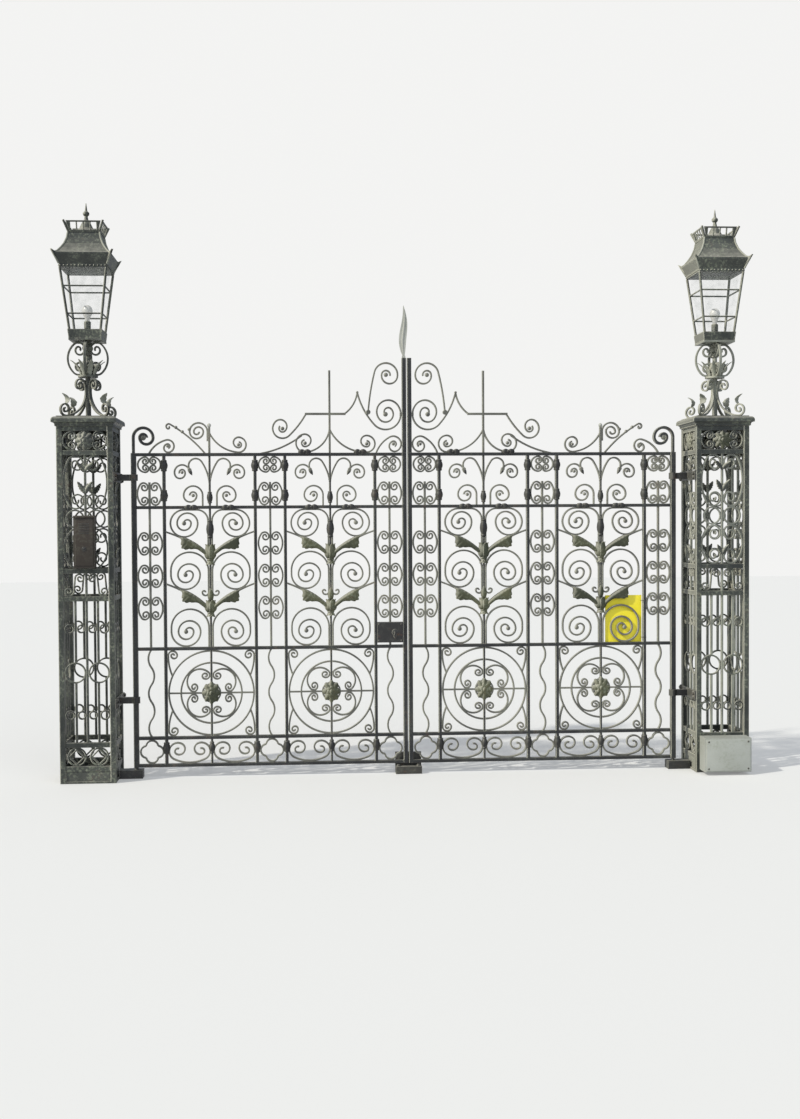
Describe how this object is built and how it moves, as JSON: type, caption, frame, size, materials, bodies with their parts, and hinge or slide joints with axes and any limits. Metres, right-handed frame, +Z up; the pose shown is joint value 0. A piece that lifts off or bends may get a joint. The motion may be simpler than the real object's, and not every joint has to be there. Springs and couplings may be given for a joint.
{
  "type": "wrought iron driveway gate",
  "caption": "Pair of scrolled wrought iron driveway gates hung between two openwork iron piers topped by lanterns.",
  "frame": {"origin": "centre of the underside of the left pier's base plate, at ground level", "axes": "+X along the gateway from the left pier to the right pier, +Y through the gateway away from the drive side, +Z up"},
  "size_m": [4.43, 0.4905, 3.635],
  "materials": {
    "pier_iron": "weathered black paint with lichen and rust",
    "leaf_iron": "weathered black paint, chalky on top",
    "scroll_iron": "weathered black paint with rust specks",
    "fitting_iron": "black paint, worn at the edges",
    "finial_iron": "pale oxidised paint",
    "ground_iron": "dull, rusty",
    "lantern_glass": "clear, dusty",
    "notice_board": "flat, faded",
    "grey_plastic": "matt, dirty",
    "brown_case": "matt, weathered"
  },
  "bodies": {
    "piers": {"left_pier_frame": "pier_iron", "left_pier_bars": "pier_iron", "left_pier_scrolls": "pier_iron", "left_pier_bands": "pier_iron", "left_pier_cap": "pier_iron", "left_pedestal": "pier_iron", "left_lantern_stem": "pier_iron", "left_lantern_cage": "pier_iron", "left_lantern_glass": "lantern_glass", "left_lantern_roof": "pier_iron", "right_pier_frame": "pier_iron", "right_pier_bars": "pier_iron", "right_pier_scrolls": "pier_iron", "right_pier_bands": "pier_iron", "right_pier_cap": "pier_iron", "right_pedestal": "pier_iron", "right_lantern_stem": "pier_iron", "right_lantern_cage": "pier_iron", "right_lantern_glass": "lantern_glass", "right_lantern_roof": "pier_iron", "left_hinge_brackets": "fitting_iron", "right_hinge_brackets": "fitting_iron", "centre_stop": "ground_iron", "control_box": "grey_plastic", "intercom": "brown_case"},
    "left_leaf": {"left_leaf_frame": "leaf_iron", "left_leaf_foot_band": "scroll_iron", "left_leaf_circles": "scroll_iron", "left_leaf_middle": "scroll_iron", "left_leaf_top_band": "scroll_iron", "left_leaf_narrow": "scroll_iron", "left_leaf_cresting": "scroll_iron", "left_leaf_post": "scroll_iron", "left_leaf_lock": "fitting_iron", "left_leaf_finial": "finial_iron"},
    "right_leaf": {"right_leaf_frame": "leaf_iron", "right_leaf_foot_band": "scroll_iron", "right_leaf_circles": "scroll_iron", "right_leaf_middle": "scroll_iron", "right_leaf_top_band": "scroll_iron", "right_leaf_narrow": "scroll_iron", "right_leaf_cresting": "scroll_iron", "right_leaf_post": "scroll_iron", "right_leaf_notice": "notice_board"}
  },
  "joints": [
    {"name": "left_leaf_swing", "type": "hinge", "parent": "piers", "child": "left_leaf", "pos_m": [0.278, 0, 0], "axis": [0, 0, -1], "range_deg": [0, 90]},
    {"name": "right_leaf_swing", "type": "hinge", "parent": "piers", "child": "right_leaf", "pos_m": [3.752, 0, 0], "axis": [0, 0, 1], "range_deg": [0, 90]}
  ]
}
